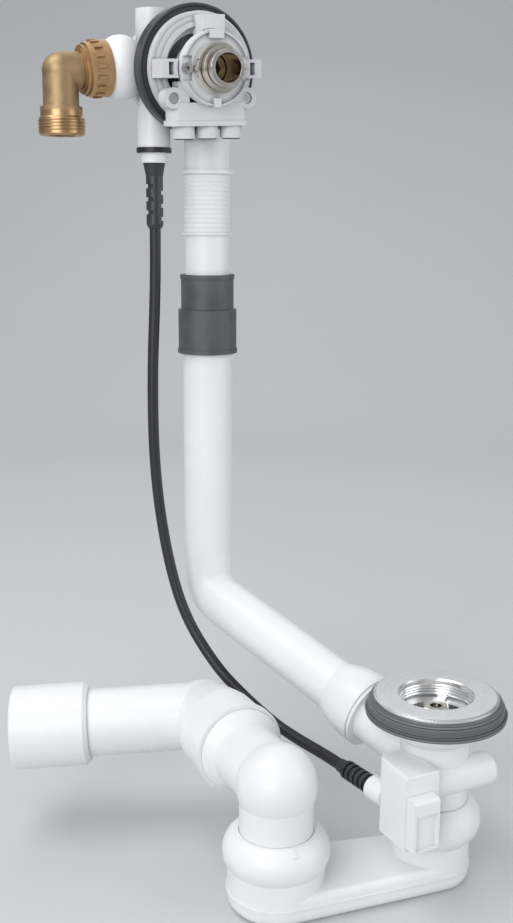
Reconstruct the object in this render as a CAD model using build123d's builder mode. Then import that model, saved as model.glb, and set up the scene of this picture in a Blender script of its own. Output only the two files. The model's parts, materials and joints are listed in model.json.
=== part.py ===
from build123d import *
from math import atan2, cos, degrees, pi, radians, sin, sqrt, tan
import os

# Bath waste and overflow with a filling head, a cable-driven pop-up waste and a flat trap.
# Millimetres. The origin is the centre of the waste flange's top face, +Z is up, and the overflow
# head faces -Y, into the bath.

# Driving dimensions: fits
fit_gap = 0.15
swivel_gap = 0.3
running_gap = 0.05

# Driving dimensions: where the main axes stand
overflow_x = -74.0
overflow_z = 342.5
wall_y = 157.0
pipe_setback = 27.4
pipe_spacing = 35.0
front_dip = 4.6
front_roll = 2.8

# Driving dimensions: waste flange and its bolt
flange_radius = 35.0
flange_thickness = 2.4
throat_radius = 20.5
throat_wall = 2.4
throat_depth = 11.0
cross_thickness = 3.5
cross_bar_width = 4.4
cross_hub_radius = 9.0
ledge_width = 3.0
throat_ridges = 4
throat_ridge = 0.5
bolt_radius = 5.0
bolt_bore_radius = 3.3
bolt_head_flats = 14.0
bolt_head_height = 4.0
bolt_length = 19.0

# Driving dimensions: flange gasket
gasket_radius = 39.5
gasket_height = 9.1
gasket_tier = 1.5

# Driving dimensions: waste body
waste_radius = 19.6
waste_wall = 2.7
waste_height = 73.0
waste_flange_radius = 34.0
waste_flange_thickness = 3.5
waste_spigot_radius = 18.6
waste_spigot_length = 23.0
waste_boss_radius = 8.0
waste_boss_height = 6.5
waste_rib = 3.0

# Driving dimensions: overflow pipe from the head down to the waste
pipe_radius = 15.8
pipe_wall = 1.8
pipe_top_z = 198.5
leg_slope = 15.0
leg_z = -40.0
pipe_bend_radius = 21.0
socket_length = 25.6
socket_radius = 21.2
socket_neck_radius = 16.8
socket_groove = 1.4
leg_seal_length = 6.0
leg_seal_depth = 2.2

# Driving dimensions: ribbed upper pipe and rubber coupling
ribbed_radius = 14.0
ribbed_wall = 1.6
ribbed_top_z = 303.0
ribbed_bottom_z = 182.0
rib_count = 13
rib_height = 0.7
rib_top_z = 284.0
rib_pitch = 2.75
rib_collar = 2.2
coupling_wall = 2.6
coupling_top_z = 222.5
coupling_bottom_z = 173.0
coupling_lip = 0.5

# Driving dimensions: actuator beside the waste
actuator_left = -36.0
actuator_right = -16.0
actuator_front = -28.0
actuator_back = 2.0
actuator_top = -30.0
actuator_bottom = -73.0
actuator_wall = 2.0
actuator_corner = 5.0
actuator_plate = 0.8
cover_right = -20.5
cover_top = -41.0
cover_bottom = -70.0
cover_reach = 8.0
cover_panel = 2.5
shaft_y = -14.0
shaft_z = -44.0
shaft_radius = 3.5
fork_length = 10.5
fork_thickness = 3.2
slider_x = -31.5
slider_stroke = 12.0
slider_width = 4.4
slider_height = 5.0
slider_length = 9.0
peg_radius = 1.9
cap_radius = 9.3
cap_end = 28.5
cap_start = 20.5
boot_turn = 6.5
boss_radius = 7.0
boss_end = 9.3
arm_thickness = 5.0
arm_width = 6.0
pin_radius = 2.9
pin_foot_radius = 3.5
pin_foot_height = 2.5
pin_top_z = -14.0
seal_section = 1.8

# Driving dimensions: trap
trap_length = 93.0
trap_heading = 170.7
trap_inlet_radius = 21.8
trap_outlet_radius = 27.0
trap_wall = 2.2
trap_bottom_z = -112.0
trap_deck_z = -95.0
trap_edge = 7.0
trap_seam = 0.8
trap_seam_z = -101.5
inlet_bead_radius = 27.5
inlet_bead_height = 23.0
riser_bead_radius = 29.6
riser_bead_z = -76.8
riser_bead_height = 19.6
lip_height = 7.0

# Driving dimensions: riser elbow
riser_radius = 20.4
drain_wall = 2.0
riser_foot_z = -93.0
spigot_z = -41.0
spigot_heading = 90.0
elbow_radius = 22.4
elbow_arm_radius = 19.2
elbow_collar_radius = 24.3
elbow_reach = 46.0
spigot_length = 28.0

# Driving dimensions: outlet bend and sleeve
bend_mouth_radius = 26.5
bend_socket_radius = 25.2
bend_mouth_rim = 4.0
bend_corner = 97.0
bend_angle = 67.0
bend_turn = 3.3
bend_corner_radius = 21.6
outlet_radius = 20.2
outlet_length = 102.0
sleeve_radius = 25.0
sleeve_start = 70.0
sleeve_end = 116.0

# Driving dimensions: overflow head
body_radius = 31.4
body_flange = 34.0
body_flange_thickness = 3.0
head_gasket_radius = 36.5
head_gasket_thickness = 9.0
chamber_radius = 20.0
chamber_depth = 12.0
chamber_floor = 3.5
sleeve_boss_radius = 9.0
spindle_radius = 5.0
spindle_front = 22.0
spindle_head_radius = 7.6
spindle_head_length = 7.0
drive_flats = 8.0
gear_pitch_radius = 13.0
gear_teeth = 20
gear_width = 9.0
gear_space = 4.0
gear_cover_radius = 20.0
gear_cover_thickness = 3.0
rack_tube_radius = 10.0
rack_tube_wall = 2.6
rack_tube_top_z = 378.0
rack_tube_bottom_z = 299.0
rack_bottom_z = 316.0
rack_teeth = 9
rack_depth = 9.0

# Driving dimensions: front ring, hub and trim stub
ring_radius = 31.8
ring_inner_radius = 23.5
ring_edge = 5.2
ring_middle = 7.0
ring_front = 8.6
hub_radius = 20.4
hub_back = 19.0
hub_front = 27.0
hub_rim = 2.0
notch_height = 13.4
notch_depth = 1.6
leg_left = -5.0
leg_right = 8.0
bracket_height = 10.2
bracket_front = 21.0
bracket_bar = 1.7
bracket_window = 3.0
tab_width = 4.4
stub_radius = 13.9
stub_step = 1.8
stub_groove = 0.7
stub_front = 42.3
stub_bore_radius = 8.0
stub_tail_radius = 9.3
screw_offset = 17.4
screw_radius = 2.0
screw_head_radius = 3.0
screw_head_height = 2.8

# Driving dimensions: filling nozzles, their heights from the centre of the head
block_half_width = 24.6
block_front = 18.5
block_top = -18.4
block_bottom = -28.4
block_corner = 6.0
block_lip = 0.7
block_boss_radius = 5.9
block_boss_offset = 23.0
block_boss_height = -16.0
ear_inner = 13.4
ear_outer = 20.0
ear_top = -7.0
port_radius = 3.4
plate_back = 7.2
plate_thickness = 3.0
nozzle_radius = 6.5
nozzle_spacing = 15.1
nozzle_depth = 12.0
nozzle_bottom = -38.3
insert_radius = 5.4

# Driving dimensions: water inlet
inlet_thread_radius = 13.22
inlet_thread_length = 9.8
inlet_collar_radius = 12.2
inlet_collar_length = 6.5
inlet_bore_radius = 8.0
inlet_arm_radius = 10.4
inlet_drop = 36.2
inlet_reach = 57.6
inlet_rise = 3.8
inlet_fall = 6.0
nut_radius = 16.2
nut_taper = 1.2
nut_length = 16.2
nut_place = 29.7
nut_ribs = 16
nut_rib = 0.5
bulge_radius = 18.4
bulge_start = 11.0
bulge_shoulder = 14.6
neck_radius = 13.0
inlet_spigot_radius = 12.8
inlet_spigot_length = 11.0
washer_thickness = 1.6

# Driving dimensions: cable and its boots
cable_radius = 3.45
core_radius = 0.9
ring_height = 3.0
ferrule_radius = 8.0
ferrule_height = 6.0
boot_radius = 6.8
boot_body_radius = 5.2
boot_tip_radius = 4.0
boot_length = 39.0
cable_lead = 30.0
lower_lead = 15.0
boot_slot = 2.4
boot_slot_depth = 2.6
lower_boot_length = 30.0
lower_boot_radius = 5.5
lower_boot_rings = 6

# Places that follow from the driving dimensions
pipe_x = overflow_x + pipe_spacing / 2
rack_x = overflow_x - pipe_spacing / 2
pipe_y = wall_y + pipe_setback
port_height = block_bottom + port_radius * 1.1
throat_outer = throat_radius + throat_wall
gasket_bottom = -flange_thickness - gasket_height
spigot_top = gasket_bottom - waste_height + waste_spigot_length
waste_bottom = gasket_bottom - waste_height
inlet_bead_z = spigot_top - swivel_gap - inlet_bead_height / 2
leg_distance = sqrt(pipe_x**2 + pipe_y**2)
leg_clear = gasket_radius + socket_radius * sin(radians(leg_slope)) + 2 * swivel_gap
leg_seat = leg_clear / cos(radians(leg_slope)) + socket_groove
leg_seal_place = leg_seat + socket_length * 0.4
socket_reach = leg_seat + socket_length
slider_z = shaft_z - fork_length
swing = degrees(atan2(slider_stroke / 2, fork_length))
lift_arm_length = -shaft_y

up = (0, 0, 1)
down = (0, 0, -1)
left = (-1, 0, 0)
leg_run = Vector(pipe_x, pipe_y, leg_distance * tan(radians(leg_slope))).normalized()
leg_start = (0, 0, leg_z)

# The overflow head's own axes: forward along its spindle, across and upward with the roll of its front
dip = radians(front_dip)
roll = radians(front_roll)
level = Vector(1, 0, 0)
forward = Vector(0, -cos(dip), -sin(dip))
upright = forward.cross(level)
across = level * cos(roll) + upright * sin(roll)
upward = upright * cos(roll) - level * sin(roll)
head = Vector(overflow_x, wall_y, overflow_z)
head_plane = Plane(head, x_dir=across, z_dir=forward)
gear_place = pipe_setback / cos(dip)
body_depth = gear_place + gear_width / 2 + gear_space + gear_cover_thickness
gear_z = overflow_z + pipe_setback * tan(dip)
inlet_run = Vector(-cos(radians(inlet_fall)), 0, -sin(radians(inlet_fall)))
inlet_point = Vector(rack_x, pipe_y, overflow_z + inlet_rise)

trap_run = Vector(cos(radians(trap_heading)), sin(radians(trap_heading)), 0)
riser_x = trap_length * trap_run.X
riser_y = trap_length * trap_run.Y
spigot_run = Vector(cos(radians(spigot_heading)), sin(radians(spigot_heading)), 0)
elbow_point = Vector(riser_x, riser_y, spigot_z)
bend_point = elbow_point + spigot_run * bend_corner
bend_side = Vector(-sin(radians(spigot_heading)), cos(radians(spigot_heading)), 0)
bend_fall = bend_side * cos(radians(bend_turn)) + Vector(0, 0, -1) * sin(radians(bend_turn))
outlet_run = spigot_run * cos(radians(bend_angle)) + bend_fall * sin(radians(bend_angle))

boot_run = Vector(-sin(radians(boot_turn)), cos(radians(boot_turn)), 0)
boot_start = Vector(slider_x, actuator_back, slider_z)
boot_mouth = boot_start + boot_run * boss_end
lower_boot_tip = boot_mouth + boot_run * lower_boot_length
ferrule_top = rack_tube_bottom_z - ring_height
boot_top = ferrule_top - ferrule_height
boot_tip_z = boot_top - boot_length

os.makedirs("parts", exist_ok=True)


def section(origin, direction):
    """Plane for a turned outline: its local y runs along the axis and its local x is the radius."""
    run = Vector(*direction).normalized()
    side = Vector(0, 1, 0).cross(run) if abs(run.Z) > 0.9 else run.cross(Vector(0, 0, 1))
    return Plane(Vector(*origin), x_dir=side.normalized(), z_dir=side.cross(run))


def outline(plane, corners):
    """Closed flat face with straight sides between the corners."""
    with BuildSketch(plane) as face:
        with BuildLine():
            Polyline(*corners, close=True)
        make_face()
    return face.sketch


def turn(origin, direction, corners, mode=Mode.ADD):
    """Round form about an axis, from corners given as (radius, distance along the axis)."""
    face = outline(section(origin, direction), corners)
    revolve(face, axis=Axis(Vector(*origin), Vector(*direction)), mode=mode)


def rod(origin, direction, radius, start, end, mode=Mode.ADD):
    """Plain cylinder along an axis, between two distances from its origin."""
    turn(origin, direction, ((0, start), (radius, start), (radius, end), (0, end)), mode)


def tube(origin, direction, radius, bore, start, end, mode=Mode.ADD):
    """Plain hollow cylinder along an axis."""
    turn(origin, direction, ((bore, start), (radius, start), (radius, end), (bore, end)), mode)


def block(x, y, z, mode=Mode.ADD, frame=Plane.XY):
    """Box between two limits on each axis of a frame, the limits given in either order."""
    middle = [(low + high) / 2 for low, high in (x, y, z)]
    size = [abs(high - low) for low, high in (x, y, z)]
    with Locations(frame.location):
        with Locations(tuple(middle)):
            Box(*size, mode=mode)


def barrel(origin, direction, corners, crown):
    """Round form whose outline closes with one arc: from the last corner, over the crown, to the first."""
    with BuildSketch(section(origin, direction)) as face:
        with BuildLine():
            Polyline(*corners)
            ThreePointArc(corners[-1], crown, corners[0])
        make_face()
    revolve(face.sketch, axis=Axis(Vector(*origin), Vector(*direction)))


def ball(centre, radius, mode=Mode.ADD):
    """Sphere at the corner of a mitred elbow."""
    with Locations(tuple(centre)):
        Sphere(radius, mode=mode)


def write(part, name):
    """Label a finished piece and write it to its own file."""
    part.label = name
    export_step(part, f"parts/{name}.step")


def head_point(sideways, height, ahead=0.0):
    """Point on the overflow head's own axes, from its centre: sideways, up and ahead of the gasket's face."""
    return head + across * sideways + upward * height + forward * ahead


# Waste: chrome flange with a throat and a ledge that the cross lies on
ledge_radius = throat_radius - ledge_width
cross_bottom = -throat_depth - cross_thickness
ledge_top = -throat_depth - cross_thickness / 2
edge = flange_thickness / 3
ridge_pitch = (throat_depth - 2 * edge) / (throat_ridges + 2)
ridge_corners = []
for ridge in range(throat_ridges):
    ridge_z = -throat_depth + ridge_pitch * (ridge + 1)
    ridge_corners += [(throat_radius, ridge_z), (throat_radius - throat_ridge, ridge_z + ridge_pitch / 2)]
with BuildPart() as waste_flange:
    turn((0, 0, 0), up, (
        (throat_radius + edge, 0), (flange_radius - 2 * edge, 0), (flange_radius, -edge),
        (flange_radius, -flange_thickness), (throat_outer, -flange_thickness), (throat_outer, cross_bottom),
        (ledge_radius, cross_bottom), (ledge_radius, ledge_top), (throat_radius, ledge_top),
        *ridge_corners, (throat_radius, -throat_depth + ridge_pitch * (throat_ridges + 1)),
        (throat_radius, -edge)))
write(waste_flange.part, "waste_flange")

# Cross that the bolt pulls on, its four ends stepped to lie on the ledge
with BuildPart() as flange_cross:
    for bar_turn in (45, 135):
        with Locations(Location((0, 0, ledge_top), (0, 0, bar_turn))):
            Box(2 * throat_radius, cross_bar_width, cross_thickness)
    rod((0, 0, 0), up, cross_hub_radius, cross_bottom, -throat_depth)
    turn((0, 0, 0), up, (
        (0, cross_bottom), (ledge_radius - fit_gap, cross_bottom), (ledge_radius - fit_gap, ledge_top),
        (throat_radius - fit_gap, ledge_top), (throat_radius - fit_gap, -throat_depth), (0, -throat_depth)),
        Mode.INTERSECT)
    rod((0, 0, 0), up, bolt_radius + fit_gap, cross_bottom, -throat_depth, Mode.SUBTRACT)
write(flange_cross.part, "flange_cross")

# Hollow brass bolt that pulls the flange down on the waste body
with BuildPart() as flange_bolt:
    with BuildSketch(Plane.XY.offset(-throat_depth)):
        RegularPolygon(bolt_head_flats / 2, 6, major_radius=False)
    extrude(amount=bolt_head_height)
    chamfer(flange_bolt.edges().group_by(Axis.Z)[-1], bolt_head_height / 6)
    rod((0, 0, -throat_depth), up, bolt_radius, -bolt_length, 0)
    rod((0, 0, -throat_depth), up, bolt_bore_radius, -bolt_length, bolt_head_height, Mode.SUBTRACT)
write(flange_bolt.part, "flange_bolt")

# Black stepped gasket under the flange
gasket_inner = throat_outer + fit_gap
tier_height = gasket_height / 3
with BuildPart() as flange_gasket:
    tier_1 = -flange_thickness - tier_height
    tier_2 = tier_1 - tier_height
    turn((0, 0, 0), up, (
        (gasket_inner, -flange_thickness), (gasket_radius - 2 * gasket_tier, -flange_thickness),
        (gasket_radius - 2 * gasket_tier, tier_1), (gasket_radius - gasket_tier, tier_1),
        (gasket_radius - gasket_tier, tier_2), (gasket_radius, tier_2 - gasket_tier / 3),
        (gasket_radius - gasket_tier / 3, gasket_bottom), (gasket_inner, gasket_bottom)))
write(flange_gasket.part, "flange_gasket")

# White waste body: flange, bowl, spider, overflow socket, shaft bosses and spigot
cup_radius = throat_outer + 2 * fit_gap
cup_floor = cross_bottom - 2 * waste_wall
waste_bore = waste_radius - waste_wall
boss_top = -throat_depth - bolt_length + waste_boss_height - fit_gap
neck_bore = pipe_radius - pipe_wall
bearing_left = actuator_right - actuator_wall / 2
bell_root = leg_seat + socket_groove
bell_mouth = pipe_radius + pipe_wall
hub_room = shaft_radius + waste_rib / 2 + 2 * swivel_gap
hub_half = arm_width / 2 + 2 * swivel_gap
with BuildPart() as waste_body:
    turn((0, 0, 0), up, (
        (0, gasket_bottom), (waste_flange_radius, gasket_bottom),
        (waste_flange_radius, gasket_bottom - waste_flange_thickness),
        (cup_radius + waste_wall, gasket_bottom - waste_flange_thickness),
        (cup_radius + waste_wall, cup_floor), (waste_radius, cup_floor - 2 * waste_wall),
        (waste_radius, spigot_top), (waste_spigot_radius, spigot_top),
        (waste_spigot_radius, waste_bottom), (0, waste_bottom)))
    rod(leg_start, leg_run, socket_neck_radius, 0, leg_seat)
    rod(leg_start, leg_run, socket_radius, leg_seat - socket_groove, leg_seat)
    rod(leg_start, leg_run, socket_radius - socket_groove, leg_seat, leg_seat + socket_groove)
    barrel(leg_start, leg_run, (
        (bell_mouth, socket_reach), (0, socket_reach), (0, bell_root), (socket_radius, bell_root)),
        (socket_radius * 0.98, (bell_root + socket_reach) / 2))
    rod((0, shaft_y, shaft_z), (1, 0, 0), cap_radius, actuator_right + fit_gap, cap_start)
    rod((0, shaft_y, shaft_z), left, 2 * shaft_radius, 0, -bearing_left)
    # hollow inside
    turn((0, 0, 0), up, (
        (0, gasket_bottom), (cup_radius, gasket_bottom), (cup_radius, cup_floor), (waste_bore, cup_floor),
        (waste_bore, waste_bottom), (0, waste_bottom)), Mode.SUBTRACT)
    rod(leg_start, leg_run, neck_bore, 0, leg_seat, Mode.SUBTRACT)
    rod(leg_start, leg_run, pipe_radius + fit_gap, leg_seat, socket_reach, Mode.SUBTRACT)
    rod(leg_start, leg_run, pipe_radius + leg_seal_depth, leg_seal_place,
        leg_seal_place + leg_seal_length, Mode.SUBTRACT)
    # spider that takes the bolt
    for rib_turn in (0, 60, 120):
        with Locations(Location((0, 0, boss_top - waste_boss_height / 2), (0, 0, rib_turn))):
            Box(2 * waste_bore + waste_wall, waste_rib, waste_boss_height)
    rod((0, 0, boss_top), down, waste_boss_radius, 0, waste_boss_height)
    rod((0, 0, boss_top), down, bolt_radius + fit_gap, 0, waste_boss_height, Mode.SUBTRACT)
    # bearing for the lever shaft, with room for the lifting arm's hub and a seat for a seal at each end
    shaft_span = (bearing_left, cap_start)
    rod((0, shaft_y, shaft_z), (1, 0, 0), shaft_radius + running_gap, *shaft_span, Mode.SUBTRACT)
    rod((0, shaft_y, shaft_z), (1, 0, 0), hub_room, -hub_half, hub_half, Mode.SUBTRACT)
    seat_radius = shaft_radius + seal_section + 2 * fit_gap
    rod((0, shaft_y, shaft_z), (1, 0, 0), seat_radius, shaft_span[0], shaft_span[0] + seal_section + fit_gap,
        Mode.SUBTRACT)
    rod((0, shaft_y, shaft_z), (1, 0, 0), seat_radius, cap_start - seal_section - fit_gap, cap_start,
        Mode.SUBTRACT)
write(waste_body.part, "waste_body")

# Lip seal in the overflow socket
with BuildPart() as leg_seal:
    tube(leg_start, leg_run, pipe_radius + leg_seal_depth - fit_gap, pipe_radius + fit_gap,
         leg_seal_place + fit_gap, leg_seal_place + leg_seal_length - fit_gap)
write(leg_seal.part, "leg_seal")

# Lever shaft across the waste, with its fork outside and its lifting arm inside
fork_x = slider_x + slider_width / 2 + fork_thickness / 2 + swivel_gap
shaft_start = fork_x - fork_thickness / 2
shaft_end = cap_end - 2 * waste_wall
with BuildPart() as lever_shaft:
    rod((0, shaft_y, shaft_z), (1, 0, 0), shaft_radius, shaft_start, shaft_end)
write(lever_shaft.part, "lever_shaft")

fork_slot = 2 * peg_radius + 4 * swivel_gap
fork_width = fork_slot + 2.5 * peg_radius
fork_end = fork_length / cos(radians(swing)) + peg_radius * 0.8
lever_side = (0, cos(radians(swing)), -sin(radians(swing)))
with BuildPart() as lever_fork:
    with BuildSketch(Plane((fork_x, shaft_y, shaft_z), x_dir=lever_side, z_dir=(1, 0, 0))):
        Circle(2 * shaft_radius)
        with Locations((0, -fork_end / 2)):
            Rectangle(fork_width, fork_end)
        with Locations((0, -fork_end)):
            Rectangle(fork_slot, 2 * (fork_end - fork_length + 1.5 * peg_radius), mode=Mode.SUBTRACT)
        Circle(shaft_radius + fit_gap, mode=Mode.SUBTRACT)
    extrude(amount=fork_thickness / 2, both=True)
write(lever_fork.part, "lever_fork")

with BuildPart() as lift_arm:
    with BuildSketch(Plane((0, shaft_y, shaft_z), x_dir=lever_side, z_dir=(1, 0, 0))):
        Circle(shaft_radius + waste_rib / 2)
        with Locations((lift_arm_length / 2, 0)):
            SlotCenterToCenter(lift_arm_length, arm_thickness)
        Circle(shaft_radius + fit_gap, mode=Mode.SUBTRACT)
    extrude(amount=arm_width / 2, both=True)
write(lift_arm.part, "lift_arm")

with BuildPart() as shaft_seals:
    seal_places = (shaft_span[0], cap_start - seal_section)
    for place in seal_places:
        tube((0, shaft_y, shaft_z), (1, 0, 0), seat_radius - fit_gap, shaft_radius + swivel_gap, place,
             place + seal_section)
write(shaft_seals.part, "shaft_seals")

# Pin that the arm lifts, up through the hollow bolt
arm_drop = (lift_arm_length - pin_foot_radius) * tan(radians(swing))
pin_bottom = shaft_z - arm_drop + arm_thickness / 2 / cos(radians(swing)) + swivel_gap
with BuildPart() as lift_pin:
    turn((0, 0, 0), up, (
        (0, pin_bottom), (pin_foot_radius, pin_bottom), (pin_foot_radius, pin_bottom + pin_foot_height),
        (pin_radius, pin_bottom + pin_foot_height), (pin_radius, pin_top_z - pin_radius / 2),
        (pin_radius / 2, pin_top_z), (0, pin_top_z)))
write(lift_pin.part, "lift_pin")

# Round cap over the far end of the shaft
cap_round = cap_radius / 3
with BuildPart() as shaft_cap:
    axis_point = (0, shaft_y, shaft_z)
    rod(axis_point, (1, 0, 0), cap_radius, cap_start, cap_end)
    fillet(shaft_cap.edges().group_by(Axis.X)[-1], cap_round)
    rod(axis_point, (1, 0, 0), shaft_radius + running_gap, cap_start, shaft_end + fit_gap, Mode.SUBTRACT)
write(shaft_cap.part, "shaft_cap")

# Actuator housing: a box that wraps the waste, with a boss for the cable boot and a plate on its side
bead_clear = inlet_bead_radius + 2 * swivel_gap
bead_top = inlet_bead_z + inlet_bead_height / 2 + swivel_gap
cavity_left = actuator_left + actuator_wall
cavity_right = actuator_right - actuator_wall
cavity_front = actuator_front + actuator_wall
fork_sweep = sqrt(fork_end**2 + (fork_width / 2)**2)
cavity_bottom = min(slider_z - slider_height / 2, shaft_z - fork_sweep) - swivel_gap
cavity_top = shaft_z + 2 * shaft_radius + 2 * swivel_gap
slider_room = slider_x + slider_width / 2 + swivel_gap
with BuildPart() as actuator_housing:
    block((actuator_left, actuator_right), (actuator_front, actuator_back), (actuator_bottom, actuator_top))
    rear_edges = actuator_housing.edges().filter_by(Axis.Z).group_by(Axis.Y)[-1]
    fillet(rear_edges.sort_by(Axis.X)[0], actuator_corner)
    fillet(actuator_housing.edges().group_by(Axis.Z)[-1], actuator_wall / 2)
    block((actuator_left - actuator_plate, actuator_left), (actuator_front, actuator_back - actuator_corner),
          (actuator_bottom, actuator_top - actuator_wall))
    rod(boot_start, boot_run, boss_radius, -2 * actuator_wall, boss_end)
    # wrap round the waste body and its shaft bosses above and round the trap's bead below
    rod((0, 0, 0), up, waste_radius + fit_gap, actuator_bottom, actuator_top, Mode.SUBTRACT)
    rod((0, 0, 0), up, bead_clear, actuator_bottom, bead_top, Mode.SUBTRACT)
    rod((0, shaft_y, shaft_z), left, 2 * shaft_radius + fit_gap, 0, -cavity_right, Mode.SUBTRACT)
    # room for the fork and the slider
    block((cavity_left, cavity_right), (cavity_front, actuator_back - actuator_wall),
          (cavity_bottom, cavity_top), Mode.SUBTRACT)
    block((cavity_left, slider_room), (actuator_front, cavity_front),
          (cavity_bottom, slider_z + slider_height / 2 + swivel_gap), Mode.SUBTRACT)
    rod(boot_start, boot_run, boot_body_radius, -2 * actuator_wall, boss_end, Mode.SUBTRACT)
write(actuator_housing.part, "actuator_housing")

# Cover on the lower half of the box's front, with a sunk panel
cover_back = actuator_front - fit_gap
cover_front = actuator_front - cover_reach
with BuildPart() as actuator_cover:
    block((actuator_left - actuator_plate, cover_right), (cover_front, cover_back), (cover_bottom, cover_top))
    fillet(actuator_cover.edges().filter_by(Axis.X).group_by(Axis.Y)[0].sort_by(Axis.Z)[-1], actuator_wall)
    block((actuator_left + actuator_wall / 2, cover_right - actuator_wall / 2),
          (cover_front, cover_front + cover_panel),
          (cover_bottom + actuator_wall / 2, slider_z + slider_height), Mode.SUBTRACT)
    block((cavity_left, slider_room), (cover_back - actuator_wall, cover_back),
          (cavity_bottom, slider_z + slider_height / 2 + swivel_gap), Mode.SUBTRACT)
    rod((0, 0, 0), up, bead_clear, actuator_bottom, bead_top, Mode.SUBTRACT)
write(actuator_cover.part, "actuator_cover")

# Slider that the cable pulls, with the peg that works the fork
slider_rest = shaft_y - slider_stroke / 2
with BuildPart() as pull_slider:
    block((slider_x - slider_width / 2, slider_x + slider_width / 2),
          (slider_rest - slider_length / 2, slider_rest + slider_length / 2),
          (slider_z - slider_height / 2, slider_z + slider_height / 2))
    rod((slider_x, slider_rest, slider_z), (1, 0, 0), peg_radius, 0,
        slider_width / 2 + fork_thickness + 2 * swivel_gap)
    rod((slider_x, slider_rest, slider_z), (0, 1, 0), core_radius + fit_gap, 0, slider_length / 2,
        Mode.SUBTRACT)
write(pull_slider.part, "pull_slider")

with BuildPart() as lower_core:
    rod((slider_x, slider_rest, slider_z), (0, 1, 0), core_radius, 0, slider_stroke + core_radius)
write(lower_core.part, "lower_core")

# Trap: a flat oval tray with a socket tower at each end
tray_height = trap_deck_z - trap_bottom_z
inlet_bore = waste_spigot_radius + swivel_gap
riser_bore = riser_radius + swivel_gap
inlet_bead_top = inlet_bead_z + inlet_bead_height / 2
inlet_bead_foot = inlet_bead_z - inlet_bead_height / 2
riser_bead_top = riser_bead_z + riser_bead_height / 2
riser_bead_foot = riser_bead_z - riser_bead_height / 2
riser_ledge = riser_foot_z - swivel_gap


def tray_outline(margin, height):
    """Outline of the trap seen from above, grown or shrunk by a margin."""
    with BuildSketch(Plane.XY.offset(height)) as face:
        Circle(trap_inlet_radius + margin)
        with Locations((riser_x, riser_y)):
            Circle(trap_outlet_radius + margin)
        make_hull()
    return face.sketch


def socket_tower(origin, tower, bead, mouth, foot, top):
    """Socket tower on the tray that swells to a rounded bead below its mouth."""
    root = trap_bottom_z + trap_edge
    barrel(origin, up, ((tower, foot), (tower, root), (0, root), (0, top), (mouth, top)),
           (bead, (foot + top) / 2))


with BuildPart() as trap_body:
    extrude(tray_outline(0, trap_bottom_z), amount=tray_height)
    fillet(trap_body.edges().group_by(Axis.Z)[0], trap_edge)
    fillet(trap_body.edges().group_by(Axis.Z)[-1], trap_edge / 2)
    extrude(tray_outline(trap_seam, trap_seam_z), amount=trap_seam)
    socket_tower((0, 0, 0), trap_inlet_radius, inlet_bead_radius, inlet_bore + trap_wall, inlet_bead_foot,
                 inlet_bead_top)
    socket_tower((riser_x, riser_y, 0), trap_outlet_radius, riser_bead_radius, riser_bore + trap_wall,
                 riser_bead_foot, riser_bead_top)
    # waterway
    extrude(tray_outline(-trap_wall, trap_bottom_z + trap_wall), amount=tray_height - 2 * trap_wall,
            mode=Mode.SUBTRACT)
    rod((0, 0, 0), up, inlet_bore, trap_deck_z - trap_wall, inlet_bead_top, Mode.SUBTRACT)
    rod((0, 0, 0), up, inlet_bore + trap_wall, inlet_bead_z - lip_height / 2, inlet_bead_z + lip_height / 2,
        Mode.SUBTRACT)
    rod((riser_x, riser_y, 0), up, riser_radius - drain_wall, trap_deck_z - trap_wall, riser_ledge,
        Mode.SUBTRACT)
    rod((riser_x, riser_y, 0), up, riser_bore, riser_ledge, riser_bead_top, Mode.SUBTRACT)
    rod((riser_x, riser_y, 0), up, riser_bore + trap_wall, riser_bead_z - lip_height / 2,
        riser_bead_z + lip_height / 2, Mode.SUBTRACT)
write(trap_body.part, "trap_body")

with BuildPart() as trap_inlet_seal:
    tube((0, 0, inlet_bead_z), up, inlet_bore + trap_wall - fit_gap, inlet_bore, fit_gap - lip_height / 2,
         lip_height / 2 - fit_gap)
write(trap_inlet_seal.part, "trap_inlet_seal")

with BuildPart() as riser_seal:
    tube((riser_x, riser_y, riser_bead_z), up, riser_bore + trap_wall - fit_gap, riser_bore,
         fit_gap - lip_height / 2, lip_height / 2 - fit_gap)
write(riser_seal.part, "riser_seal")

# Riser with its mitred elbow, round at the corner, and the spigot that takes the bend
drain_bore = riser_radius - drain_wall
spigot_end = elbow_reach + spigot_length
with BuildPart() as riser_elbow:
    rod((riser_x, riser_y, 0), up, riser_radius, riser_foot_z, spigot_z)
    ball(elbow_point, elbow_radius)
    turn(elbow_point, spigot_run, (
        (0, 0), (elbow_arm_radius, 0), (elbow_arm_radius, elbow_reach - 4 * drain_wall),
        (elbow_collar_radius, elbow_reach - drain_wall), (elbow_collar_radius, elbow_reach),
        (riser_radius, elbow_reach), (riser_radius, spigot_end), (0, spigot_end)))
    rod((riser_x, riser_y, 0), up, drain_bore, riser_foot_z, spigot_z, Mode.SUBTRACT)
    ball(elbow_point, drain_bore, Mode.SUBTRACT)
    rod(elbow_point, spigot_run, elbow_arm_radius - drain_wall, 0, spigot_end, Mode.SUBTRACT)
write(riser_elbow.part, "riser_elbow")

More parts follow.
